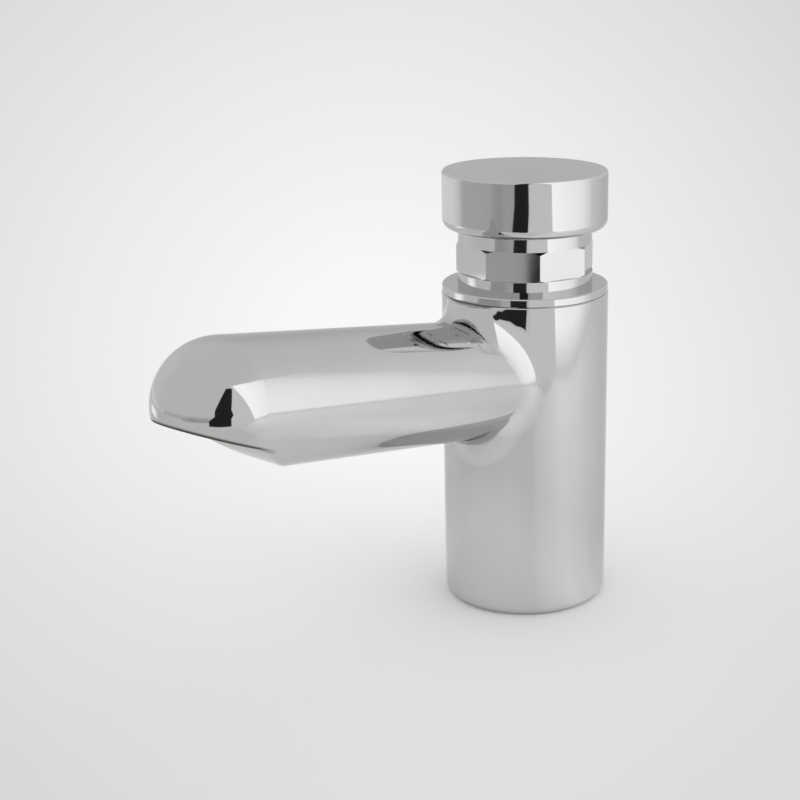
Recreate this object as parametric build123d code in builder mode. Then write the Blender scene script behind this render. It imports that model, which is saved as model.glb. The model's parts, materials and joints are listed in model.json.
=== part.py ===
from build123d import *
import math
import os

# Push timed tap: a column with a rising spout, an octagon bonnet and a push
# button over a slow-closing cartridge. Millimetres, +Z up, the spout points to -Y,
# and the origin is the centre of the base, on the axis of the column.

# Fits
static_clearance = 0.05
running_clearance = 0.05
groove_clearance = 0.05
seal_clearance = 0.15
loose_clearance = 0.3
cut_overrun = 5.0

# Section of all the small round seals, sides of the small nuts, and degrees in a quarter turn
o_ring_section = 1.5
hexagon_sides = 6
quarter_turn = 90.0

# Plunger stem, and the needle beside it
stem_radius = 3.0
stem_thread_step = 0.5
stem_foot_step = 1.0
stem_flange_width = 2.0
stem_flange_height = 1.5
needle_gap = 0.8
needle_radius = 0.4
needle_hole_radius = 0.8
needle_below_partition = 2.0
needle_grip = 4.0

# Spring ring that holds the piston on the stem
circlip_groove_depth = 0.5
circlip_stand = 1.4
circlip_thickness = 0.8
circlip_gap_angle = 70.0

# Return spring and its hard washer
spring_wire = 1.5
spring_pitch = 3.2
spring_needle_gap = 1.1
spring_bore_gap = 1.8
spring_washer_thickness = 0.8
spring_washer_overlap = 0.5
spring_samples = 240

# Piston
piston_height = 6.0
piston_head_gap = 1.0
piston_above_seal = 1.0
lip_seal_height = 3.0
lip_seal_depth = 2.3
lip_notch_depth = 1.2
lip_notch_width = 1.0

# Cartridge sleeve and gland
sleeve_wall = 3.0
sleeve_partition = 4.0
sleeve_flange_height = 3.0
sleeve_gasket_thickness = 1.0
window_count = 4
window_width = 11.0
window_height = 8.0
window_sill = 2.0
gland_height = 6.5

# Valve and its seat
seat_throat_gap = 1.8
seat_lip_width = 1.0
seat_lip_height = 1.0
seat_flange_height = 2.0
seat_flange_inset = 0.1
seat_step = 3.0
valve_washer_overlap = 0.8
valve_washer_thickness = 3.0
valve_cup_wall = 0.6
valve_cup_floor = 2.5
valve_cup_rim = 2.0
valve_cup_gap = 0.7
valve_nut_across_flats = 7.0
valve_nut_height = 3.0
valve_foot_overhang = 1.0
valve_floor_gap = 2.5

# Inlet and its filter
inlet_thread_radius = 9.32
inlet_thread_depth = 14.0
filter_step = 1.0
filter_seat_depth = 3.0
filter_washer_bore_radius = 6.8
filter_washer_thickness = 2.0
filter_mesh_thickness = 0.3
filter_hole_radius = 0.6
filter_hole_pitch = 1.9
filter_rings = 3
filter_holes_first_ring = 6

# Column of the body casting
column_wall = 6.5
chamber_gap = 2.0
chamber_shoulder = 1.5
chamber_height = 34.0
seat_bore_height = 6.0
base_edge_round = 3.0
body_top_chamfer = 0.3

# Seal under the base
base_seal_margin = 2.7
base_seal_width = 5.1
base_seal_thickness = 2.0

# Spout of the body casting, a round tube with a half-ball nose
spout_top_drop = 5.0
spout_tilt = 8.6
spout_radius = 16.7
spout_wall = 3.0
nose_reach = 112.6
junction_round = 10.0
port_radius = 8.0
port_length = 12.0

# Mouth, a slanted cut under the nose, and the chin that closes it at the rear
mouth_front_drop = 1.6
mouth_length = 18.5
mouth_slope = 22.5
mouth_corner_round = 6.0
mouth_edge_round = 1.5
chin_length = 15.6
chin_dip = 0.3
chin_bulge = 1.0
chin_wall = 4.0

# Trim ring between the column and the bonnet
trim_ring_inset = 0.15
trim_ring_height = 2.4
trim_ring_chamfer = 0.3

# Bonnet
bonnet_spigot_length = 10.0
bonnet_skirt_shoulder = 1.9
bonnet_skirt_height = 3.7
nut_shoulder = 1.0
nut_height = 8.4
nut_corner_chamfer_angle = 42.0
nut_corner_azimuth = 7.2
nut_sides = 8
nut_corner_round = 0.6
collar_shoulder = 1.7
collar_height = 5.5
collar_well_radius = 15.0
bonnet_floor_thickness = 4.0
bonnet_edge_chamfer = 0.3

# Guide bush of the stem
bush_wall = 3.0
bush_flange_width = 2.0
bush_flange_height = 1.0

# Push button and its lock nut
button_nut_gap = 0.58
button_height = 16.5
button_gap = 4.0
button_wall = 3.0
button_top_thickness = 3.0
button_top_round = 1.0
button_bottom_round = 2.6
button_boss_wall = 3.5
button_boss_length = 7.0
button_thread_depth = 6.0
button_travel = 8.0
button_nut_across_flats = 8.0
button_nut_height = 3.0

# Radii, from the stem outwards
stem_thread_radius = stem_radius - stem_thread_step
stem_foot_radius = stem_radius - stem_foot_step
stem_flange_radius = stem_radius + stem_flange_width
circlip_groove_radius = stem_radius - circlip_groove_depth
circlip_radius = stem_radius + circlip_stand
needle_offset = stem_flange_radius + needle_gap + needle_radius
spring_inner_radius = needle_offset + needle_radius + spring_needle_gap
spring_mean_radius = spring_inner_radius + spring_wire / 2
sleeve_bore_radius = spring_inner_radius + spring_wire + spring_bore_gap
sleeve_radius = sleeve_bore_radius + sleeve_wall
seat_throat_radius = stem_radius + seat_throat_gap
seat_lip_radius = seat_throat_radius + seat_lip_width
valve_washer_radius = seat_lip_radius + valve_washer_overlap
cup_bore_radius = valve_washer_radius + static_clearance
cup_radius = cup_bore_radius + valve_cup_wall
valve_chamber_radius = cup_radius + valve_cup_gap
filter_seat_radius = valve_chamber_radius + filter_step
seat_bore_radius = valve_chamber_radius + seat_step
seat_flange_radius = sleeve_radius - seat_flange_inset
chamber_radius = sleeve_radius + chamber_gap
bonnet_bore_radius = chamber_radius + chamber_shoulder
sleeve_flange_radius = bonnet_bore_radius - loose_clearance
body_radius = bonnet_bore_radius + column_wall
base_seal_outer_radius = body_radius - base_edge_round - base_seal_margin
base_seal_inner_radius = base_seal_outer_radius - base_seal_width
trim_ring_radius = body_radius - trim_ring_inset
bonnet_skirt_radius = bonnet_bore_radius + bonnet_skirt_shoulder
collar_radius = bonnet_bore_radius + collar_shoulder
nut_flat_radius = bonnet_bore_radius + nut_shoulder
nut_corner_radius = nut_flat_radius / math.cos(math.pi / nut_sides)
bush_radius = stem_radius + bush_wall
bush_flange_radius = bush_radius + bush_flange_width
button_boss_radius = stem_thread_radius + button_boss_wall
button_bore_radius = nut_corner_radius + button_nut_gap
button_radius = button_bore_radius + button_wall

# Levels, from the base up
filter_seat_level = inlet_thread_depth
valve_chamber_level = filter_seat_level + filter_seat_depth
foot_bottom = valve_chamber_level + valve_floor_gap + button_travel
valve_nut_bottom = foot_bottom + valve_foot_overhang
cup_bottom = valve_nut_bottom + valve_nut_height
washer_bottom = cup_bottom + valve_cup_floor
lip_level = washer_bottom + valve_washer_thickness
seat_bore_level = lip_level + seat_lip_height
chamber_level = seat_bore_level + seat_bore_height
sleeve_bottom = chamber_level + seat_flange_height
window_level = sleeve_bottom + window_sill
partition_level = window_level + window_height + window_sill
cylinder_level = partition_level + sleeve_partition
spring_level = cylinder_level + spring_washer_thickness
shoulder_level = chamber_level + chamber_height
flange_level = shoulder_level + sleeve_gasket_thickness
spigot_bottom = flange_level + sleeve_flange_height
body_height = spigot_bottom + bonnet_spigot_length
skirt_level = body_height + trim_ring_height
nut_level = skirt_level + bonnet_skirt_height
collar_level = nut_level + nut_height
collar_top = collar_level + collar_height
button_level = collar_level + button_gap
button_ceiling = button_level + button_height - button_top_thickness
boss_bottom = button_ceiling - button_boss_length
button_nut_bottom = boss_bottom - button_nut_height
bush_top = button_nut_bottom - button_travel - loose_clearance
bonnet_floor_top = bush_top - bush_flange_height
bonnet_floor_bottom = bonnet_floor_top - bonnet_floor_thickness
sleeve_top = bonnet_floor_bottom - loose_clearance
gland_level = sleeve_top - gland_height
piston_top = gland_level - piston_head_gap - circlip_thickness
piston_level = piston_top - piston_height

# Directions and places of the spout
tilt = math.radians(spout_tilt)
spout_top_at_column = body_height - spout_top_drop
spout_axis_height = spout_top_at_column - spout_radius / math.cos(tilt) - body_radius * math.tan(tilt)
spout_direction = (0, -math.cos(tilt), math.sin(tilt))
spout_origin = (0, 0, spout_axis_height)
spout_axis = Axis(spout_origin, spout_direction)
nose_distance = nose_reach / math.cos(tilt)
port_end_distance = (body_radius + port_length) / math.cos(tilt)
nose_height = spout_axis_height + nose_reach * math.tan(tilt)
waterway_radius = spout_radius - spout_wall
mouth_front_reach = nose_reach + spout_radius
mouth_rear_reach = mouth_front_reach - mouth_length
chin_foot_reach = mouth_rear_reach - chin_length
underside_height = spout_axis_height + chin_foot_reach * math.tan(tilt) - spout_radius / math.cos(tilt)
mouth_front = Vector(-mouth_front_reach, nose_height - mouth_front_drop)
mouth_rear = mouth_front + Vector(1, -math.tan(math.radians(mouth_slope))) * mouth_length
chin_foot = Vector(-chin_foot_reach, underside_height - chin_dip)
chin_chord = (chin_foot - mouth_rear).normalized()
chin_inward = Vector(-chin_chord.Y, chin_chord.X)
chin_middle = (mouth_rear + chin_foot) / 2 - chin_inward * chin_bulge
spout_profile_plane = Plane(origin=spout_origin, x_dir=spout_direction, z_dir=(1, 0, 0))
spout_section_plane = Plane(origin=spout_origin, x_dir=(1, 0, 0), z_dir=spout_direction)


def save(part, label):
    """Label a finished piece and write it to its own file."""
    part.label = label
    export_step(part, f"parts/{label}.step")


def washer(inner, outer, bottom, top, label):
    """A plain flat ring."""
    with BuildPart() as ring:
        extrude(ring_face(inner, outer, bottom), amount=top - bottom)
    save(ring.part, label)


def ring_face(inner, outer, level):
    """A level ring, or a disc where the inner radius is zero."""
    with BuildSketch(Plane.XY.offset(level)) as face:
        Circle(outer)
        if inner:
            Circle(inner, mode=Mode.SUBTRACT)
    return face.sketch


def o_ring(inner_radius, middle_level, label):
    """A round-section ring that lies level around the main axis."""
    with BuildPart() as ring:
        with BuildSketch(Plane.XZ):
            with Locations((inner_radius + o_ring_section / 2, middle_level)):
                Circle(o_ring_section / 2)
        revolve(axis=Axis.Z)
    save(ring.part, label)


def seal_groove(inner, outer, middle_level):
    """The ring of metal that makes room for a round seal, as a solid to take away."""
    groove_height = o_ring_section + 2 * groove_clearance
    face = ring_face(inner, outer, middle_level - groove_height / 2)
    return extrude(face, amount=groove_height, mode=Mode.PRIVATE)


def outer_groove(bore_radius, middle_level):
    """Groove in the outside of a plug, for a seal against the bore around it."""
    floor_radius = bore_radius - o_ring_section - 2 * groove_clearance
    return seal_groove(floor_radius, bore_radius + groove_clearance, middle_level)


def stem_groove(middle_level):
    """Groove in the inside of a guide, for a seal around the stem."""
    return seal_groove(0, stem_radius + seal_clearance + o_ring_section + groove_clearance, middle_level)


def plug_ring(bore_radius, middle_level, label):
    """The seal that lies in an outer groove."""
    o_ring(bore_radius - groove_clearance - o_ring_section, middle_level, label)


def stem_ring(middle_level, label):
    """The seal that lies in a stem groove."""
    o_ring(stem_radius + seal_clearance, middle_level, label)


def hex_nut(across_flats, bore, bottom, height, label):
    """A small plain hexagon nut."""
    with BuildPart() as nut:
        with BuildSketch(Plane.XY.offset(bottom)):
            RegularPolygon(across_flats / 2, hexagon_sides, major_radius=False)
            Circle(bore, mode=Mode.SUBTRACT)
        extrude(amount=height)
    save(nut.part, label)


def capsule_profile(radius, start):
    """Half section of a round tube with a ball end, from a start distance to the nose."""
    with BuildSketch(spout_profile_plane) as profile:
        with BuildLine():
            Line((start, 0), (start, radius))
            Line((start, radius), (nose_distance, radius))
            CenterArc((nose_distance, 0), radius, quarter_turn, -quarter_turn)
            Line((nose_distance + radius, 0), (start, 0))
        make_face()
    return profile.sketch


os.makedirs("parts", exist_ok=True)

# Body casting: column, spout, mouth and waterway
with BuildPart() as body_casting:
    # The column is built too tall, so that the junction's blend can run out through its top
    with BuildSketch():
        Circle(body_radius)
    extrude(amount=body_height + 2 * junction_round)
    revolve(capsule_profile(spout_radius, 0), axis=spout_axis)
    junction_edges = [
        edge for edge in body_casting.edges() if edge.geom_type not in (GeomType.LINE, GeomType.CIRCLE)
    ]
    fillet(junction_edges, radius=junction_round)
    with BuildSketch(Plane.XY.offset(body_height)):
        Circle(body_radius + junction_round)
    extrude(amount=2 * junction_round, mode=Mode.SUBTRACT)
    fillet(body_casting.faces().sort_by(Axis.Z)[0].edges(), radius=base_edge_round)

    # Stepped bore of the column
    for radius, bottom, top in (
        (inlet_thread_radius, 0, filter_seat_level),
        (filter_seat_radius, filter_seat_level, valve_chamber_level),
        (valve_chamber_radius, valve_chamber_level, seat_bore_level),
        (seat_bore_radius, seat_bore_level, chamber_level),
        (chamber_radius, chamber_level, shoulder_level),
        (bonnet_bore_radius, shoulder_level, body_height),
    ):
        extrude(ring_face(0, radius, bottom), amount=top - bottom, mode=Mode.SUBTRACT)

    # Mouth: everything under a slanted line and a bulging chin is cut away, from side to side
    with BuildSketch(Plane.YZ):
        with BuildLine() as mouth_outline:
            Line(mouth_front, mouth_rear)
            ThreePointArc(mouth_rear, chin_middle, chin_foot)
            corner = mouth_outline.vertices().sort_by_distance(mouth_rear)[0]
            fillet(corner, radius=mouth_corner_round)
            Polyline(
                chin_foot,
                (chin_foot.X, chin_foot.Y - cut_overrun),
                (mouth_front.X - cut_overrun, chin_foot.Y - cut_overrun),
                (mouth_front.X - cut_overrun, mouth_front.Y),
                mouth_front,
            )
        make_face()
    extrude(amount=spout_radius + cut_overrun, both=True, mode=Mode.SUBTRACT)
    fillet(body_casting.edges(Select.LAST), radius=mouth_edge_round)

    # Port from the chamber into the hollow of the spout, which stops short of the chin
    with BuildSketch(spout_section_plane):
        Circle(port_radius)
    extrude(amount=port_end_distance, mode=Mode.SUBTRACT)
    with BuildSketch(Plane.YZ):
        with BuildLine():
            Polyline(
                mouth_rear,
                mouth_rear + chin_inward * chin_wall,
                chin_foot + chin_inward * chin_wall,
                (chin_foot.X, chin_foot.Y - cut_overrun),
                (mouth_rear.X, chin_foot.Y - cut_overrun),
                close=True,
            )
        make_face()
    chin = extrude(amount=spout_radius, both=True, mode=Mode.PRIVATE)
    hollow = revolve(capsule_profile(waterway_radius, port_end_distance), axis=spout_axis, mode=Mode.PRIVATE)
    add(hollow - chin, mode=Mode.SUBTRACT)

    # Seam at the top of the column
    top_face = body_casting.faces().filter_by(Axis.Z).sort_by(Axis.Z)[-1]
    chamfer(top_face.outer_wire().edges(), length=body_top_chamfer)

    # Groove for the base seal
    groove_inner = base_seal_inner_radius - groove_clearance
    groove_outer = base_seal_outer_radius + groove_clearance
    extrude(ring_face(groove_inner, groove_outer, 0), amount=base_seal_thickness, mode=Mode.SUBTRACT)
save(body_casting.part, "body_casting")

# Seal between the casting and the surface that it stands on
washer(base_seal_inner_radius, base_seal_outer_radius, 0, base_seal_thickness, "base_seal_ring")

# Inlet filter: a drilled disc, held up against the step of its bore by a soft washer
filter_radius = filter_seat_radius - static_clearance
filter_washer_bottom = valve_chamber_level - filter_washer_thickness
washer(
    filter_washer_bore_radius, filter_radius, filter_washer_bottom, valve_chamber_level, "inlet_filter_washer"
)
with BuildPart() as filter_mesh:
    with BuildSketch(Plane.XY.offset(filter_washer_bottom - filter_mesh_thickness)):
        Circle(filter_radius)
        Circle(filter_hole_radius, mode=Mode.SUBTRACT)
        for ring_number in range(1, filter_rings + 1):
            with PolarLocations(ring_number * filter_hole_pitch, ring_number * filter_holes_first_ring):
                Circle(filter_hole_radius, mode=Mode.SUBTRACT)
    extrude(amount=filter_mesh_thickness)
save(filter_mesh.part, "inlet_filter_mesh")

# Valve seat: flange, plug with its seal, and a lip that the valve washer closes against
seat_seal_level = (seat_bore_level + chamber_level) / 2
with BuildPart() as valve_seat:
    for radius, bottom, top in (
        (seat_lip_radius, lip_level, seat_bore_level),
        (seat_bore_radius - static_clearance, seat_bore_level, chamber_level),
        (seat_flange_radius, chamber_level, sleeve_bottom),
    ):
        extrude(ring_face(seat_throat_radius, radius, bottom), amount=top - bottom)
    add(outer_groove(seat_bore_radius, seat_seal_level), mode=Mode.SUBTRACT)
save(valve_seat.part, "valve_seat")
plug_ring(seat_bore_radius, seat_seal_level, "valve_seat_o_ring")

# Valve on the foot of the stem: a soft washer in a metal cup, held by a nut
foot_bore_radius = stem_foot_radius + static_clearance
washer(foot_bore_radius, valve_washer_radius, washer_bottom, lip_level, "valve_washer")
with BuildPart() as valve_cup:
    extrude(ring_face(foot_bore_radius, cup_radius, cup_bottom), amount=valve_cup_floor + valve_cup_rim)
    extrude(ring_face(0, cup_bore_radius, washer_bottom), amount=valve_cup_rim, mode=Mode.SUBTRACT)
save(valve_cup.part, "valve_washer_cup")
hex_nut(valve_nut_across_flats, foot_bore_radius, valve_nut_bottom, valve_nut_height, "valve_nut")

# Cartridge sleeve: a cage with windows, a partition around the stem, and the piston's cylinder
partition_middle = partition_level + sleeve_partition / 2
with BuildPart() as cartridge_sleeve:
    extrude(ring_face(sleeve_bore_radius, sleeve_radius, sleeve_bottom), amount=sleeve_top - sleeve_bottom)
    flange_face = ring_face(sleeve_bore_radius, sleeve_flange_radius, flange_level)
    extrude(flange_face, amount=sleeve_flange_height)
    partition_face = ring_face(stem_radius + running_clearance, sleeve_bore_radius, partition_level)
    extrude(partition_face, amount=sleeve_partition)
    add(stem_groove(partition_middle), mode=Mode.SUBTRACT)
    with BuildSketch(Plane.XY.offset(window_level)):
        with PolarLocations((sleeve_radius + sleeve_bore_radius) / 2, window_count):
            Rectangle(2 * (sleeve_radius - sleeve_bore_radius), window_width)
    extrude(amount=window_height, mode=Mode.SUBTRACT)
    with BuildSketch(Plane.XY.offset(partition_level)):
        with Locations((needle_offset, 0)):
            Circle(needle_hole_radius)
    extrude(amount=sleeve_partition, mode=Mode.SUBTRACT)
save(cartridge_sleeve.part, "cartridge_sleeve")
stem_ring(partition_middle, "lower_stem_o_ring")
washer(
    sleeve_radius + static_clearance,
    bonnet_bore_radius - static_clearance,
    shoulder_level,
    flange_level,
    "sleeve_gasket",
)

# Gland that closes the top of the piston's cylinder
gland_middle = gland_level + gland_height / 2
with BuildPart() as cartridge_gland:
    gland_face = ring_face(
        stem_radius + running_clearance, sleeve_bore_radius - static_clearance, gland_level
    )
    extrude(gland_face, amount=gland_height)
    add(stem_groove(gland_middle), mode=Mode.SUBTRACT)
save(cartridge_gland.part, "cartridge_gland")
stem_ring(gland_middle, "gland_o_ring")

# Piston with its lip seal, and the spring ring that holds it on the stem
piston_radius = sleeve_bore_radius - running_clearance
lip_seal_top = piston_top - piston_above_seal
lip_seal_bottom = lip_seal_top - lip_seal_height
lip_floor_radius = piston_radius - lip_seal_depth
with BuildPart() as piston:
    extrude(ring_face(stem_radius + static_clearance, piston_radius, piston_level), amount=piston_height)
    lip_groove = ring_face(lip_floor_radius, piston_radius, lip_seal_bottom)
    extrude(lip_groove, amount=lip_seal_height, mode=Mode.SUBTRACT)
    with BuildSketch(Plane.XY.offset(piston_level)):
        with Locations((needle_offset, 0)):
            Circle(needle_radius + static_clearance)
    extrude(amount=needle_grip, mode=Mode.SUBTRACT)
save(piston.part, "piston")

with BuildPart() as lip_seal:
    seal_inner = lip_floor_radius + static_clearance
    seal_outer = sleeve_bore_radius - loose_clearance
    seal_middle = (seal_inner + seal_outer) / 2
    seal_top = lip_seal_top - groove_clearance
    with BuildSketch(Plane.XZ):
        with BuildLine():
            Polyline(
                (seal_inner, lip_seal_bottom),
                (seal_outer, lip_seal_bottom),
                (seal_outer, seal_top),
                (seal_middle + lip_notch_width / 2, seal_top),
                (seal_middle, seal_top - lip_notch_depth),
                (seal_middle - lip_notch_width / 2, seal_top),
                (seal_inner, seal_top),
                close=True,
            )
        make_face()
    revolve(axis=Axis.Z)
save(lip_seal.part, "piston_lip_seal")

with BuildPart() as circlip:
    extrude(
        ring_face(circlip_groove_radius + static_clearance, circlip_radius, piston_top),
        amount=circlip_thickness,
    )
    with BuildSketch(Plane.XY.offset(piston_top)):
        with BuildLine():
            gap_half_width = circlip_radius * math.tan(math.radians(circlip_gap_angle) / 2)
            Polyline(
                (0, 0), (circlip_radius, gap_half_width), (circlip_radius, -gap_half_width), close=True
            )
        make_face()
    extrude(amount=circlip_thickness, mode=Mode.SUBTRACT)
save(circlip.part, "piston_circlip")

# Needle that keeps the slow-closing hole of the partition clean
with BuildPart() as needle:
    needle_bottom = partition_level - needle_below_partition
    with BuildSketch(Plane.XY.offset(needle_bottom)):
        with Locations((needle_offset, 0)):
            Circle(needle_radius)
    extrude(amount=piston_level + needle_grip - needle_bottom)
save(needle.part, "timing_needle")

# Return spring, between a hard washer on the partition and the piston
washer(
    spring_inner_radius - spring_washer_overlap,
    sleeve_bore_radius - static_clearance,
    cylinder_level,
    spring_level,
    "spring_seat_washer",
)
spring_rise = piston_level - spring_level - spring_wire
with BuildPart() as return_spring:
    with BuildLine() as coil:
        Helix(
            pitch=spring_pitch,
            height=spring_rise,
            radius=spring_mean_radius,
            center=(0, 0, spring_level + spring_wire / 2),
        )
    with BuildSketch(Plane(origin=coil.line @ 0, z_dir=coil.line % 0)):
        Circle(spring_wire / 2)
    sweep()
save(return_spring.part, "return_spring")

# Least gap of the spring to itself, measured between points that lie half a turn or more apart
coil_points = [coil.line @ (step / spring_samples) for step in range(spring_samples + 1)]
half_turn = math.ceil(spring_samples * spring_pitch / spring_rise / 2)
coil_gap = min(
    (second - first).length - spring_wire
    for place, first in enumerate(coil_points)
    for second in coil_points[place + half_turn:]
)
print(f"return_spring: least gap to itself {coil_gap:.2f} mm")

# Plunger stem, from the valve up to the button
stem_thread_top = boss_bottom + button_thread_depth - loose_clearance
with BuildPart() as plunger_stem:
    for radius, bottom, top in (
        (stem_foot_radius, foot_bottom, lip_level),
        (stem_radius, lip_level, button_nut_bottom),
        (stem_flange_radius, piston_level - stem_flange_height, piston_level),
        (stem_thread_radius, button_nut_bottom, stem_thread_top),
    ):
        extrude(ring_face(0, radius, bottom), amount=top - bottom)
    circlip_groove = ring_face(circlip_groove_radius, stem_radius, piston_top)
    extrude(circlip_groove, amount=circlip_thickness, mode=Mode.SUBTRACT)
save(plunger_stem.part, "plunger_stem")

# Trim ring
with BuildPart() as trim_ring:
    extrude(
        ring_face(bonnet_bore_radius + static_clearance, trim_ring_radius, body_height),
        amount=trim_ring_height,
    )
    outer_edges = trim_ring.edges().filter_by(GeomType.CIRCLE).sort_by(SortBy.RADIUS)[-2:]
    chamfer(outer_edges, length=trim_ring_chamfer)
save(trim_ring.part, "trim_ring")

# Octagon of the bonnet, with its corners turned off towards the round parts above and below
chamfer_slope = math.tan(math.radians(nut_corner_chamfer_angle))
with BuildPart() as octagon:
    with BuildSketch(Plane.XY.offset(nut_level)):
        RegularPolygon(nut_flat_radius, nut_sides, major_radius=False, rotation=nut_corner_azimuth)
    extrude(amount=nut_height)
    fillet(octagon.edges().filter_by(Axis.Z), radius=nut_corner_round)
    with BuildSketch(Plane.XZ):
        with BuildLine():
            Polyline(
                (0, nut_level),
                (bonnet_skirt_radius, nut_level),
                (nut_corner_radius, nut_level + (nut_corner_radius - bonnet_skirt_radius) * chamfer_slope),
                (nut_corner_radius, collar_level - (nut_corner_radius - collar_radius) * chamfer_slope),
                (collar_radius, collar_level),
                (0, collar_level),
                close=True,
            )
        make_face()
    revolve(axis=Axis.Z, mode=Mode.INTERSECT)

# Bonnet: spigot in the column, skirt on the trim ring, octagon and collar
spigot_seal_level = (spigot_bottom + body_height) / 2
with BuildPart() as bonnet:
    for radius, bottom, top in (
        (bonnet_bore_radius - static_clearance, spigot_bottom, skirt_level),
        (bonnet_skirt_radius, skirt_level, nut_level),
        (collar_radius, collar_level, collar_top),
    ):
        extrude(ring_face(0, radius, bottom), amount=top - bottom)
    add(octagon.part)
    collar_edge = bonnet.edges().filter_by(GeomType.CIRCLE).group_by(Axis.Z)[-1]
    chamfer(collar_edge, length=bonnet_edge_chamfer)
    for radius, bottom, top in (
        (sleeve_radius + loose_clearance, spigot_bottom, bonnet_floor_bottom),
        (bush_radius + static_clearance, bonnet_floor_bottom, bonnet_floor_top),
        (collar_well_radius, bonnet_floor_top, collar_top),
    ):
        extrude(ring_face(0, radius, bottom), amount=top - bottom, mode=Mode.SUBTRACT)
    add(outer_groove(bonnet_bore_radius, spigot_seal_level), mode=Mode.SUBTRACT)
save(bonnet.part, "bonnet")
plug_ring(bonnet_bore_radius, spigot_seal_level, "bonnet_o_ring")

# Guide bush of the stem, in the floor of the bonnet
bush_seal_level = (bonnet_floor_bottom + bonnet_floor_top) / 2
with BuildPart() as guide_bush:
    bush_bore_radius = stem_radius + running_clearance
    extrude(ring_face(bush_bore_radius, bush_radius, bonnet_floor_bottom), amount=bonnet_floor_thickness)
    extrude(ring_face(bush_bore_radius, bush_flange_radius, bonnet_floor_top), amount=bush_flange_height)
    add(stem_groove(bush_seal_level), mode=Mode.SUBTRACT)
save(guide_bush.part, "stem_guide_bush")
stem_ring(bush_seal_level, "stem_wiper_o_ring")

# Push button: a cap that slides down over the collar and the octagon
with BuildPart() as push_button:
    extrude(ring_face(0, button_radius, button_level), amount=button_height)
    fillet(push_button.edges().sort_by(Axis.Z)[-1], radius=button_top_round)
    fillet(push_button.edges().sort_by(Axis.Z)[0], radius=button_bottom_round)
    cup = ring_face(0, button_bore_radius, button_level)
    extrude(cup, amount=button_ceiling - button_level, mode=Mode.SUBTRACT)
    extrude(ring_face(0, button_boss_radius, boss_bottom), amount=button_boss_length)
    boss_hole = ring_face(0, stem_thread_radius + static_clearance, boss_bottom)
    extrude(boss_hole, amount=button_thread_depth, mode=Mode.SUBTRACT)
save(push_button.part, "push_button")
hex_nut(
    button_nut_across_flats,
    stem_thread_radius + static_clearance,
    button_nut_bottom,
    button_nut_height,
    "button_lock_nut",
)
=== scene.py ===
import json
import math

import bpy
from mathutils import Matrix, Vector


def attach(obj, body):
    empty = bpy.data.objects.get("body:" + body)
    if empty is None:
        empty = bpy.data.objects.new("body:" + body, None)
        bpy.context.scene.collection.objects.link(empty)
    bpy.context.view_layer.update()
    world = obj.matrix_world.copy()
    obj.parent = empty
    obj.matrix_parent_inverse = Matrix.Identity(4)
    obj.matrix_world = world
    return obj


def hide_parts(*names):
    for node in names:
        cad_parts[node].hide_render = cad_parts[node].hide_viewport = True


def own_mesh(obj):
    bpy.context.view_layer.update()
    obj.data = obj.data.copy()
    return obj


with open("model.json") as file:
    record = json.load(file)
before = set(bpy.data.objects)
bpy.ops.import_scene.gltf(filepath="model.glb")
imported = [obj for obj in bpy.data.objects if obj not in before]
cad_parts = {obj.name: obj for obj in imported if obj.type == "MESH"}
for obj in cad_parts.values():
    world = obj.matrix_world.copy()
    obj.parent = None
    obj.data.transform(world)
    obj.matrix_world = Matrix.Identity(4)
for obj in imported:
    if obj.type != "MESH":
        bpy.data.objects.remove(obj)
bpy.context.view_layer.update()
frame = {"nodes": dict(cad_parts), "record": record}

# Metres, in the frame of the CAD model: +Z up, the spout points to -Y.
# Directions on the level are given as an azimuth, in degrees from -Y towards +X.

half_turn = 180.0
full_turn = 360.0
millimetres = 1000.0
white = (1.0, 1.0, 1.0)
evenly = (1.0, 1.0, 1.0)

# Camera, fitted to the photograph's outlines
camera_azimuth = 40.0
camera_pitch = 16.7
camera_distance = 0.467
camera_target_height = 0.0587
camera_clip_start = 0.01
camera_clip_end = 50.0
picture_width = 800.0
focal_pixels = 1585.0
axis_pixel = 525.0
sensor_width = 0.036

# Mouth of the casting: its plane, and where painted shade takes the chrome's place at its lip and inside
# it
mouth_front = (0.0, -0.1293, 0.0819)
mouth_slope = 22.5
nose_centre = (0.0, -0.1126, 0.0835)
lip_top = (0.0004, 0.0009)
lip_foot = (-0.0006, -0.0003)
mouth_shade_reach = (0.0146, 0.0150)
mouth_shade_from = (0.0003, 0.0005)
mouth_shade_front = (-0.1145, -0.1075)

# Noise: its usual detail and roughness, and the part of its range that a colour or a gloss follows
usual_detail = 4.0
usual_roughness = 0.6
noise_low = 0.3
noise_high = 0.7

# Chrome plate: smears in its tone and gloss, a ripple, and wipe scratches on top of the ripple
chrome_edge_tint = (0.85, 0.85, 0.85, 1.0)
chrome_colours = ((0.545, 0.548, 0.552), (0.570, 0.571, 0.573))
chrome_roughness = (0.035, 0.075)
chrome_bump = (0.06, 0.0004)
smear_scale = 55.0
smear_detail = 5.0
ripple_scale = 38.0
ripple_detail = 1.0
scratch_scale = 900.0
scratch_detail = 2.0
scratch_stretch = (1.0, 1.0, 0.08)
scratch_share = 0.02
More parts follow.
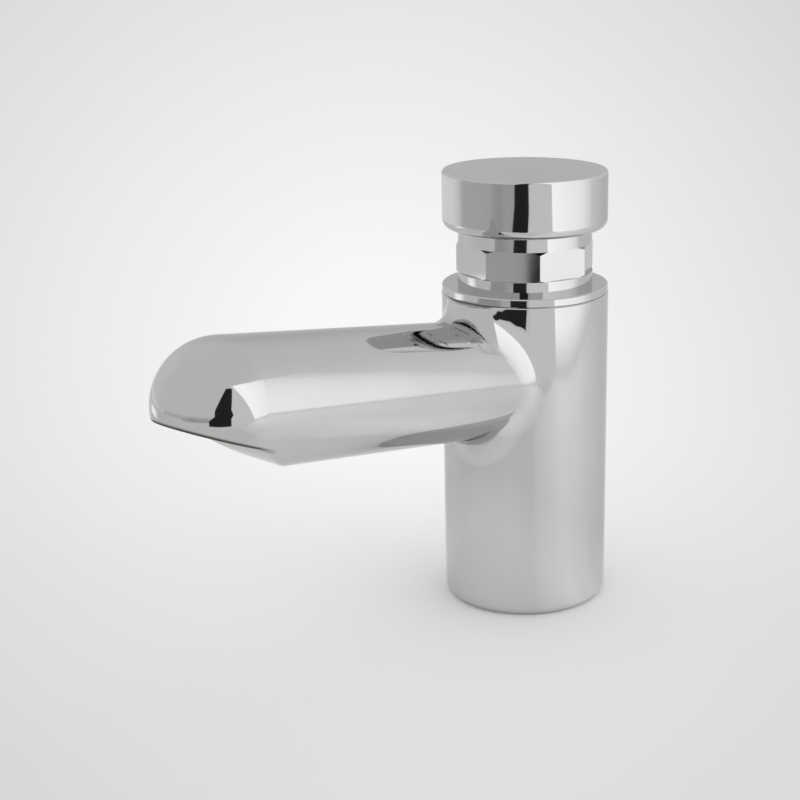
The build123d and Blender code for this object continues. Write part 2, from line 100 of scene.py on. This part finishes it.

# Other finishes, with noise for the tone and for the grain as (scale, detail, stretch),
# and bump as (strength, depth)
# Painted shade for the mouth's lip and inside: a dark, dull colour in place of the opening's shadow
mouth_shade_finish = {
    "metallic": 0.6,
    "tone": (700.0, usual_detail, evenly),
    "colours": ((0.035, 0.031, 0.024), (0.075, 0.068, 0.055)),
    "grain": (700.0, usual_detail, evenly),
    "roughness": (0.5, 0.7),
    "bump": (0.4, 0.0002),
}
turned_brass = {
    "metallic": 1.0,
    "tone": (120.0, usual_detail, evenly),
    "colours": ((0.60, 0.42, 0.15), (0.80, 0.62, 0.28)),
    "grain": (1500.0, usual_detail, (0.02, 0.02, 1.0)),
    "roughness": (0.22, 0.38),
    "bump": (0.25, 0.0002),
}
drawn_steel = {
    "metallic": 1.0,
    "tone": (1200.0, usual_detail, (1.0, 1.0, 0.05)),
    "colours": ((0.52, 0.52, 0.51), (0.66, 0.66, 0.65)),
    "grain": (1200.0, usual_detail, (1.0, 1.0, 0.05)),
    "roughness": (0.20, 0.34),
    "bump": (0.2, 0.0001),
}
moulded_acetal = {
    "metallic": 0.0,
    "tone": (80.0, usual_detail, evenly),
    "colours": ((0.74, 0.73, 0.68), (0.84, 0.84, 0.81)),
    "grain": (2500.0, 2.0, evenly),
    "roughness": (0.36, 0.50),
    "bump": (0.15, 0.0001),
}
moulded_rubber = {
    "metallic": 0.0,
    "tone": (300.0, 6.0, evenly),
    "colours": ((0.018, 0.018, 0.019), (0.055, 0.055, 0.056)),
    "grain": (300.0, 6.0, evenly),
    "roughness": (0.55, 0.80),
    "bump": (0.3, 0.0001),
}

# Floor: a painted pool of light on it, a cone from one point, with its level by the angle from its axis
floor_reach = 6.0
glow_source = (0.2875, -0.3427, 0.1929)
glow_aim = (-0.0905, 0.0299, 0.0488)
glow_levels = (
    (0, 0.93), (3.6, 0.925), (5.8, 0.89), (8, 0.86), (10.7, 0.825), (13.5, 0.78), (16.2, 0.74),
    (18.8, 0.695), (21, 0.67), (30, 0.66),
)
glow_widest = 30.0

# Table top that the polished metal mirrors, with painted light: its level by azimuth from the camera's own
table_reach = 0.60
table_front_azimuth = 53.0
table_front_distance = 0.243
table_steps = 48
table_levels = (
    (-180, 0.80), (-143, 0.80), (-118, 0.83), (-84, 0.75), (-50, 0.77), (-21, 0.78), (7, 0.75), (11, 0.76),
    (15, 0.82), (28, 0.87), (50, 0.97), (60, 0.94), (75, 0.92), (90, 0.85), (105, 0.84), (130, 0.79),
    (180, 0.80),
)
# Painted glow near the part, in place of the light that the metal throws on the table
table_glow_centre = (0.0, -0.045, 0.0)
table_glow_from = (0.055, 0.115)
table_glow_strength = 0.155
table_tint = (1.0, 0.985, 0.97)
lift = 0.00005

# Studio around the part, as the polished metal sees it: the soft box has its corners as (Y, Z)
soft_box_distance = 0.275
soft_box_corners = (
    (-0.085, -0.034), (-0.062, 0.03), (-0.079, 0.075), (-0.179, 0.340), (0.011, 0.312), (0.273, 0.330),
    (0.344, 0.384), (0.317, 0.293), (0.298, 0.112), (0.36, 0.07), (0.36, -0.034),
)
soft_box_near = -0.179
soft_box_far = 0.36
soft_box_levels = (
    (-0.076, 1.60), (0.047, 1.47), (0.100, 1.44), (0.174, 1.34), (0.206, 1.28), (0.246, 1.19),
    (0.265, 1.15), (0.296, 1.03), (0.36, 1.0),
)
soft_box_scale = 1.60
soft_box_foot = (0.002, 0.022)
soft_box_foot_level = 0.93
soft_box_tint = (0.99, 0.985, 1.0)
low_panel_azimuth = -101.0
low_panel_distance = 0.315
low_panel_height = 0.018
low_panel_half_width = 0.075
low_panel_half_height = 0.014
low_panel_core = 0.25
low_panel_strength = 1.50
side_panel_corners = (
    (0.224, -0.213, 0.0), (0.236, -0.180, 0.345), (0.276, -0.179, 0.345), (0.276, -0.036, 0.0),
)
side_panel_colour = (0.98, 0.98, 1.0)
side_panel_strength = 0.90

# Dark gap in which the camera stands, as (share of the way from its left foot to its right one, height)
gap_foot_left = (0.109, -0.293, 0.0)
gap_foot_right = (0.175, -0.194, 0.0)
gap_outline = (
    (0.01, 0.016), (0.025, 0.022), (0.025, 0.048), (0.15, 0.060), (0.31, 0.074), (0.34, 0.108),
    (0.58, 0.163), (0.94, 0.245), (1.28, 0.245), (1.05, 0.108), (1.12, 0.078), (1.02, 0.058),
    (1.02, 0.016),
)
gap_colour = (1.0, 0.95, 0.95)
gap_strength = 0.025

# Light from the room, with its level by azimuth from the camera's own, low down and half way up
room_levels_low = (
    (-180, 0.67), (-150, 1.06), (-120, 1.04), (-105, 0.91), (-94, 0.62), (-49, 0.57), (-40, 0.47),
    (-33, 0.47), (-26, 0.53), (-12, 0.50), (8, 0.87), (40, 0.87), (96, 1.0), (115, 0.87), (137, 0.76),
    (180, 0.67),
)
room_levels_high = (
    (-180, 0.67), (-140, 0.85), (-115, 0.85), (-100, 0.79), (-20, 0.78), (8, 0.80), (105, 0.95),
    (150, 0.87), (180, 0.67),
)
room_high_from = (-0.145, -0.06)
room_low_from = (-0.235, -0.225)
ceiling_from = (0.35, 0.75)
ceiling_colour = (0.79, 0.775, 0.775)
room_tint = (1.0, 0.99, 0.985)


def degrees_direction(azimuth):
    """Level unit vector at an azimuth."""
    angle = math.radians(azimuth)
    return Vector((math.sin(angle), -math.cos(angle), 0.0))


def add_mesh(name, points, faces):
    """A stage object made from points and faces."""
    mesh = bpy.data.meshes.new(name)
    mesh.from_pydata(points, [], faces)
    mesh.update()
    piece = bpy.data.objects.new(name, mesh)
    bpy.context.scene.collection.objects.link(piece)
    return piece


def new_material(name):
    """An empty node material with its output node."""
    material = bpy.data.materials.new(name)
    material.use_nodes = True
    tree = material.node_tree
    tree.nodes.clear()
    output = tree.nodes.new("ShaderNodeOutputMaterial")
    return material, tree, output


def add_node(tree, kind, **values):
    """A node with its sockets set by name where it has them, and otherwise its properties."""
    made = tree.nodes.new(kind)
    for key, value in values.items():
        if key in made.inputs:
            made.inputs[key].default_value = value
        else:
            setattr(made, key, value)
    return made


def emission_material(name, colour, strength):
    """An even light."""
    material, tree, output = new_material(name)
    light = add_node(tree, "ShaderNodeEmission", Color=(*colour, 1.0), Strength=strength)
    tree.links.new(light.outputs["Emission"], output.inputs["Surface"])
    return material


def noise_value(tree, scale, detail, stretch=evenly):
    """Noise in object space, between 0 and 1."""
    place = add_node(tree, "ShaderNodeTexCoord")
    mapping = add_node(tree, "ShaderNodeMapping")
    mapping.inputs["Scale"].default_value = stretch
    noise = add_node(tree, "ShaderNodeTexNoise", Scale=scale, Detail=detail, Roughness=usual_roughness)
    tree.links.new(place.outputs["Object"], mapping.inputs["Vector"])
    tree.links.new(mapping.outputs["Vector"], noise.inputs["Vector"])
    return noise.outputs["Fac"]


def remap(tree, value, low, high, from_low=noise_low, from_high=noise_high):
    """A value stretched from one range to another."""
    made = add_node(tree, "ShaderNodeMapRange")
    made.inputs["From Min"].default_value = from_low
    made.inputs["From Max"].default_value = from_high
    made.inputs["To Min"].default_value = low
    made.inputs["To Max"].default_value = high
    tree.links.new(value, made.inputs["Value"])
    return made.outputs["Result"]


def math_value(tree, operation, first, second):
    """One value worked out from two others."""
    made = add_node(tree, "ShaderNodeMath", operation=operation)
    tree.links.new(first, made.inputs[0])
    tree.links.new(second, made.inputs[1])
    return made.outputs["Value"]


def distance_to(tree, vector, point):
    """How far a place is from a fixed point."""
    away = add_node(tree, "ShaderNodeVectorMath", operation="DISTANCE")
    away.inputs[1].default_value = point
    tree.links.new(vector, away.inputs[0])
    return away.outputs["Value"]


def along_axis(tree, vector, start, axis):
    """How far a place is from a start, measured along an axis."""
    offset = add_node(tree, "ShaderNodeVectorMath", operation="SUBTRACT")
    offset.inputs[1].default_value = start
    tree.links.new(vector, offset.inputs[0])
    along = add_node(tree, "ShaderNodeVectorMath", operation="DOT_PRODUCT")
    along.inputs[1].default_value = axis
    tree.links.new(offset.outputs["Vector"], along.inputs[0])
    return along.outputs["Value"]


def coordinate(tree, vector, axis):
    """The X, Y or Z of a vector."""
    parts = add_node(tree, "ShaderNodeSeparateXYZ")
    tree.links.new(vector, parts.inputs["Vector"])
    return parts.outputs[axis]


def in_degrees(tree, angle):
    """An angle in degrees."""
    degrees = add_node(tree, "ShaderNodeMath", operation="DEGREES")
    tree.links.new(angle, degrees.inputs[0])
    return degrees.outputs["Value"]


def colour_between(tree, value, first, second):
    """A colour that runs from one to another with a value."""
    ramp = add_node(tree, "ShaderNodeValToRGB")
    ramp.color_ramp.elements[0].color = (*first, 1.0)
    ramp.color_ramp.elements[1].color = (*second, 1.0)
    tree.links.new(value, ramp.inputs["Fac"])
    return ramp.outputs["Color"]


def level_ramp(tree, value, stops, low, high, tint=white):
    """A grey that follows stops of (place, level), for a value that runs from low to high."""
    ramp = add_node(tree, "ShaderNodeValToRGB")
    elements = ramp.color_ramp.elements
    while len(elements) < len(stops):
        elements.new(1 / 2)
    for element, (place, level) in zip(elements, stops):
        element.position = (place - low) / (high - low)
        element.color = (level * tint[0], level * tint[1], level * tint[2], 1.0)
    tree.links.new(remap(tree, value, 0.0, 1.0, low, high), ramp.inputs["Fac"])
    return ramp.outputs["Color"]


def mixed_colour(tree, share, first, second):
    """A colour that goes from one to another with a share. Either may be a fixed colour."""
    made = add_node(tree, "ShaderNodeMix", data_type="RGBA")
    tree.links.new(share, made.inputs["Factor"])
    for side, colour in (("A", first), ("B", second)):
        if isinstance(colour, tuple):
            made.inputs[side].default_value = (*colour, 1.0)
        else:
            tree.links.new(colour, made.inputs[side])
    return made.outputs["Result"]


def azimuth_degrees(tree, vector):
    """Azimuth of a vector about +Z, in degrees from the camera's own."""
    turned = add_node(tree, "ShaderNodeVectorRotate", rotation_type="Z_AXIS")
    turned.inputs["Angle"].default_value = -math.radians(camera_azimuth)
    tree.links.new(vector, turned.inputs["Vector"])
    parts = add_node(tree, "ShaderNodeSeparateXYZ")
    tree.links.new(turned.outputs["Vector"], parts.inputs["Vector"])
    backwards = add_node(tree, "ShaderNodeMath", operation="MULTIPLY")
    backwards.inputs[1].default_value = -1.0
    tree.links.new(parts.outputs["Y"], backwards.inputs[0])
    azimuth = math_value(tree, "ARCTAN2", parts.outputs["X"], backwards.outputs["Value"])
    return in_degrees(tree, azimuth)


def add_bump(tree, height, shader, bump):
    """Bumps of a strength and depth on a shader."""
    strength, depth = bump
    made = add_node(tree, "ShaderNodeBump", Strength=strength, Distance=depth)
    tree.links.new(height, made.inputs["Height"])
    tree.links.new(made.outputs["Normal"], shader.inputs["Normal"])


def chrome_shader(tree):
    """Polished chrome plate: faint smears in its gloss, fine wipe scratches, a slight ripple."""
    shader = add_node(tree, "ShaderNodeBsdfPrincipled", Metallic=1.0)
    shader.inputs["Specular Tint"].default_value = chrome_edge_tint
    smears = noise_value(tree, smear_scale, smear_detail)
    tone = remap(tree, smears, 0.0, 1.0)
    tree.links.new(colour_between(tree, tone, *chrome_colours), shader.inputs["Base Color"])
    tree.links.new(remap(tree, smears, *chrome_roughness), shader.inputs["Roughness"])
    ripple = noise_value(tree, ripple_scale, ripple_detail)
    scratches = noise_value(tree, scratch_scale, scratch_detail, scratch_stretch)
    mixed = add_node(tree, "ShaderNodeMath", operation="MULTIPLY_ADD")
    tree.links.new(scratches, mixed.inputs[0])
    mixed.inputs[1].default_value = scratch_share
    tree.links.new(ripple, mixed.inputs[2])
    add_bump(tree, mixed.outputs["Value"], shader, chrome_bump)
    return shader.outputs["BSDF"]


def finish_shader(tree, finish):
    """A finish whose colour follows one noise, and whose gloss and bumps follow another."""
    shader = add_node(tree, "ShaderNodeBsdfPrincipled", Metallic=finish["metallic"])
    tone = noise_value(tree, *finish["tone"])
    tree.links.new(colour_between(tree, tone, *finish["colours"]), shader.inputs["Base Color"])
    grain = noise_value(tree, *finish["grain"])
    tree.links.new(remap(tree, grain, *finish["roughness"]), shader.inputs["Roughness"])
    add_bump(tree, grain, shader, finish["bump"])
    return shader.outputs["BSDF"]


def chrome_material():
    """Polished chrome plate all over."""
    material, tree, output = new_material("polished_chrome")
    tree.links.new(chrome_shader(tree), output.inputs["Surface"])
    return material


def finish_material(name, finish):
    """One finish all over."""
    material, tree, output = new_material(name)
    tree.links.new(finish_shader(tree, finish), output.inputs["Surface"])
    return material


def casting_material():
    """Chrome plate, with painted shade on the lip of the mouth and inside it: dark and dull there in place
    of the opening's shadow.
    """
    material, tree, output = new_material("plated_casting_mouth_shade")
    place = add_node(tree, "ShaderNodeTexCoord").outputs["Object"]
    slope = math.radians(mouth_slope)
    height = along_axis(tree, place, mouth_front, (0.0, math.sin(slope), math.cos(slope)))
    under_top = remap(tree, height, 1.0, 0.0, *lip_top)
    over_foot = remap(tree, height, 0.0, 1.0, *lip_foot)
    lip = math_value(tree, "MULTIPLY", under_top, over_foot)
    within = remap(tree, distance_to(tree, place, nose_centre), 1.0, 0.0, *mouth_shade_reach)
    over_mouth = remap(tree, height, 0.0, 1.0, *mouth_shade_from)
    inside = math_value(tree, "MULTIPLY", within, over_mouth)
    front = remap(tree, coordinate(tree, place, "Y"), 1.0, 0.0, *mouth_shade_front)
    # Painted shade where the lip band or the inside of the mouth meets the front of the nose
    painted_mouth_shade = math_value(tree, "MULTIPLY", math_value(tree, "MAXIMUM", lip, inside), front)
    mixed = add_node(tree, "ShaderNodeMixShader")
    tree.links.new(painted_mouth_shade, mixed.inputs["Fac"])
    tree.links.new(chrome_shader(tree), mixed.inputs[1])
    tree.links.new(finish_shader(tree, mouth_shade_finish), mixed.inputs[2])
    tree.links.new(mixed.outputs["Shader"], output.inputs["Surface"])
    return material


def floor_material():
    """Pale paper with a painted pool of light that slowly darkens away from its axis."""
    material, tree, output = new_material("pale_paper_painted_light_pool")
    shader = add_node(tree, "ShaderNodeBsdfDiffuse")
    place = add_node(tree, "ShaderNodeNewGeometry")
    beam = add_node(tree, "ShaderNodeVectorMath", operation="SUBTRACT")
    beam.inputs[1].default_value = glow_source
    tree.links.new(place.outputs["Position"], beam.inputs[0])
    unit = add_node(tree, "ShaderNodeVectorMath", operation="NORMALIZE")
    tree.links.new(beam.outputs["Vector"], unit.inputs[0])
    along = add_node(tree, "ShaderNodeVectorMath", operation="DOT_PRODUCT")
    along.inputs[1].default_value = (Vector(glow_aim) - Vector(glow_source)).normalized()
    tree.links.new(unit.outputs["Vector"], along.inputs[0])
    angle = add_node(tree, "ShaderNodeMath", operation="ARCCOSINE")
    tree.links.new(along.outputs["Value"], angle.inputs[0])
    degrees = in_degrees(tree, angle.outputs["Value"])
    tree.links.new(level_ramp(tree, degrees, glow_levels, 0.0, glow_widest), shader.inputs["Color"])
    tree.links.new(shader.outputs["BSDF"], output.inputs["Surface"])
    return material


def table_material():
    """The same paper as the metal mirrors it, with painted light by azimuth, and a painted glow near the
    part in place of the light that the metal throws on it.
    """
    material, tree, output = new_material("table_paper_painted_light")
    shader = add_node(tree, "ShaderNodeBsdfDiffuse")
    place = add_node(tree, "ShaderNodeNewGeometry").outputs["Position"]
    azimuth = azimuth_degrees(tree, place)
    colour = level_ramp(tree, azimuth, table_levels, -half_turn, half_turn, table_tint)
    tree.links.new(colour, shader.inputs["Color"])
    away = distance_to(tree, place, table_glow_centre)
    glow = add_node(tree, "ShaderNodeEmission")
    strength = remap(tree, away, table_glow_strength, 0.0, *table_glow_from)
    tree.links.new(strength, glow.inputs["Strength"])
    both = add_node(tree, "ShaderNodeAddShader")
    tree.links.new(shader.outputs["BSDF"], both.inputs[0])
    tree.links.new(glow.outputs["Emission"], both.inputs[1])
    tree.links.new(both.outputs["Shader"], output.inputs["Surface"])
    return material


def soft_box_material():
    """Soft light that fades towards its far side and at its foot."""
    material, tree, output = new_material("soft_box_light")
    light = add_node(tree, "ShaderNodeEmission", Strength=soft_box_scale)
    place = add_node(tree, "ShaderNodeNewGeometry").outputs["Position"]
    stops = [(where, level / soft_box_scale) for where, level in soft_box_levels]
    side = coordinate(tree, place, "Y")
    colour = level_ramp(tree, side, stops, soft_box_near, soft_box_far, soft_box_tint)
    raised = remap(tree, coordinate(tree, place, "Z"), 0.0, 1.0, *soft_box_foot)
    foot_grey = (soft_box_foot_level / soft_box_scale,) * 3
    tree.links.new(mixed_colour(tree, raised, foot_grey, colour), light.inputs["Color"])
    tree.links.new(light.outputs["Emission"], output.inputs["Surface"])
    return material


def soft_patch_material(middle, reach, strength):
    """Light that fades out sideways from the middle of its panel."""
    material, tree, output = new_material("low_panel_light")
    place = add_node(tree, "ShaderNodeNewGeometry").outputs["Position"]
    away = distance_to(tree, place, middle)
    light = add_node(tree, "ShaderNodeEmission", Strength=strength)
    clear = add_node(tree, "ShaderNodeBsdfTransparent")
    mixed = add_node(tree, "ShaderNodeMixShader")
    tree.links.new(remap(tree, away, 0.0, 1.0, low_panel_core * reach, reach), mixed.inputs["Fac"])
    tree.links.new(light.outputs["Emission"], mixed.inputs[1])
    tree.links.new(clear.outputs["BSDF"], mixed.inputs[2])
    tree.links.new(mixed.outputs["Shader"], output.inputs["Surface"])
    return material


def set_rays(piece, camera, diffuse, glossy, shadow):
    """Says which rays meet a stage object."""
    piece.visible_camera = camera
    piece.visible_diffuse = diffuse
    piece.visible_glossy = glossy
    piece.visible_transmission = glossy
    piece.visible_shadow = shadow


def build_floor():
    """A wide floor for the eye, and the table top that the metal mirrors."""
    square = [
        (-floor_reach, -floor_reach, 0.0),
        (floor_reach, -floor_reach, 0.0),
        (floor_reach, floor_reach, 0.0),
        (-floor_reach, floor_reach, 0.0),
    ]
    floor = add_mesh("floor", square, [(0, 1, 2, 3)])
    floor.data.materials.append(floor_material())
    set_rays(floor, True, True, False, True)
    cut = math.degrees(math.acos(table_front_distance / table_reach))
    step_angle = (full_turn - 2 * cut) / table_steps
    azimuths = [table_front_azimuth + cut + step_angle * step for step in range(table_steps + 1)]
    rim = [degrees_direction(azimuth) * table_reach + Vector((0.0, 0.0, lift)) for azimuth in azimuths]
    table = add_mesh("table_top", rim, [tuple(range(len(rim)))])
    table.data.materials.append(table_material())
    set_rays(table, False, False, True, False)


def build_studio():
    """Soft box, low panel, side panel and the dark gap in which the camera stands, seen in the metal."""
    corners = [(soft_box_distance, y, z) for y, z in soft_box_corners]
    soft_box = add_mesh("soft_box", corners, [tuple(range(len(corners)))])
    soft_box.data.materials.append(soft_box_material())
    set_rays(soft_box, False, True, True, False)
    outward = degrees_direction(camera_azimuth + low_panel_azimuth)
    middle = outward * low_panel_distance + Vector((0.0, 0.0, low_panel_height))
    across = Vector((-outward.y, outward.x, 0.0)) * low_panel_half_width
    rise = Vector((0.0, 0.0, low_panel_half_height))
    low_corners = [
        middle - across - rise,
        middle + across - rise,
        middle + across + rise,
        middle - across + rise,
    ]
    low_panel = add_mesh("low_panel", low_corners, [(0, 1, 2, 3)])
    low_panel.data.materials.append(soft_patch_material(middle, low_panel_half_width, low_panel_strength))
    set_rays(low_panel, False, False, True, False)
    panel = add_mesh("side_panel", side_panel_corners, [(0, 1, 2, 3)])
    panel_light = emission_material("side_panel_light", side_panel_colour, side_panel_strength)
    panel.data.materials.append(panel_light)
    set_rays(panel, False, False, True, False)
    left = Vector(gap_foot_left)
    along = Vector(gap_foot_right) - left
    outline = [left + along * share + Vector((0.0, 0.0, height)) for share, height in gap_outline]
    gap = add_mesh("camera_gap", outline, [tuple(range(len(outline)))])
    gap.data.materials.append(emission_material("gap_dark", gap_colour, gap_strength))
    set_rays(gap, False, False, True, False)


def build_world():
    """The room as the metal sees it, an even light for all else, and a plain grey behind the floor."""
    world = bpy.data.worlds.new("studio_room")
    bpy.context.scene.world = world
    world.use_nodes = True
    tree = world.node_tree
    tree.nodes.clear()
    output = tree.nodes.new("ShaderNodeOutputWorld")
    background = add_node(tree, "ShaderNodeBackground", Strength=1.0)
    place = add_node(tree, "ShaderNodeTexCoord").outputs["Generated"]
    azimuth = azimuth_degrees(tree, place)
    height = coordinate(tree, place, "Z")
    above = remap(tree, height, 0.0, 1.0, *room_high_from)
    below = remap(tree, height, 1.0, 0.0, *room_low_from)
    low = level_ramp(tree, azimuth, room_levels_low, -half_turn, half_turn, room_tint)
    high = level_ramp(tree, azimuth, room_levels_high, -half_turn, half_turn, room_tint)
    walls = mixed_colour(tree, math_value(tree, "MAXIMUM", above, below), low, high)
    overhead = remap(tree, height, 0.0, 1.0, *ceiling_from)
    room = mixed_colour(tree, overhead, walls, ceiling_colour)
    rays = add_node(tree, "ShaderNodeLightPath")
    seen = mixed_colour(tree, rays.outputs["Is Glossy Ray"], white, room)
    floor_edge = (glow_levels[-1][1],) * 3
    behind = mixed_colour(tree, rays.outputs["Is Camera Ray"], seen, floor_edge)
    tree.links.new(behind, background.inputs["Color"])
    tree.links.new(background.outputs["Background"], output.inputs["Surface"])


def build_camera():
    """Camera at the photograph's angle."""
    data = bpy.data.cameras.new("camera")
    data.sensor_width = millimetres * sensor_width
    data.lens = data.sensor_width * focal_pixels / picture_width
    data.shift_x = (picture_width / 2 - axis_pixel) / picture_width
    data.clip_start = camera_clip_start
    data.clip_end = camera_clip_end
    camera = bpy.data.objects.new("camera", data)
    bpy.context.scene.collection.objects.link(camera)
    pitch = math.radians(camera_pitch)
    outward = degrees_direction(camera_azimuth) * math.cos(pitch) + Vector((0.0, 0.0, math.sin(pitch)))
    camera.location = Vector((0.0, 0.0, camera_target_height)) + outward * camera_distance
    camera.rotation_euler = outward.to_track_quat("Z", "Y").to_euler()
    bpy.context.scene.camera = camera


def dress_nodes():
    """Gives every CAD node the material of its slot, and the casting the one with painted shade at its
    mouth.
    """
    made = {
        "polished_chrome": chrome_material(),
        "plain_brass": finish_material("turned_brass", turned_brass),
        "stainless_steel": finish_material("stainless_steel", drawn_steel),
        "white_acetal": finish_material("white_acetal", moulded_acetal),
        "black_rubber": finish_material("black_rubber", moulded_rubber),
    }
    slots = {part["node"]: part["material_slot"] for part in frame["record"]["subparts"]}
    for name, piece in frame["nodes"].items():
        for material_slot in piece.material_slots:
            material_slot.material = made[slots[name]]
    frame["nodes"]["body_casting"].material_slots[0].material = casting_material()


def build_spring():
    """The return spring again, as a piece of its own on the casing, in place of the hidden CAD node."""
    node = frame["nodes"]["return_spring"]
    coil = bpy.data.objects.new("return_spring_coil", node.data.copy())
    bpy.context.scene.collection.objects.link(coil)
    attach(coil, "casing")
    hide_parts("return_spring")
    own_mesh(coil)


build_camera()
build_world()
build_floor()
build_studio()
dress_nodes()
build_spring()
bpy.context.scene.view_settings.view_transform = "Standard"
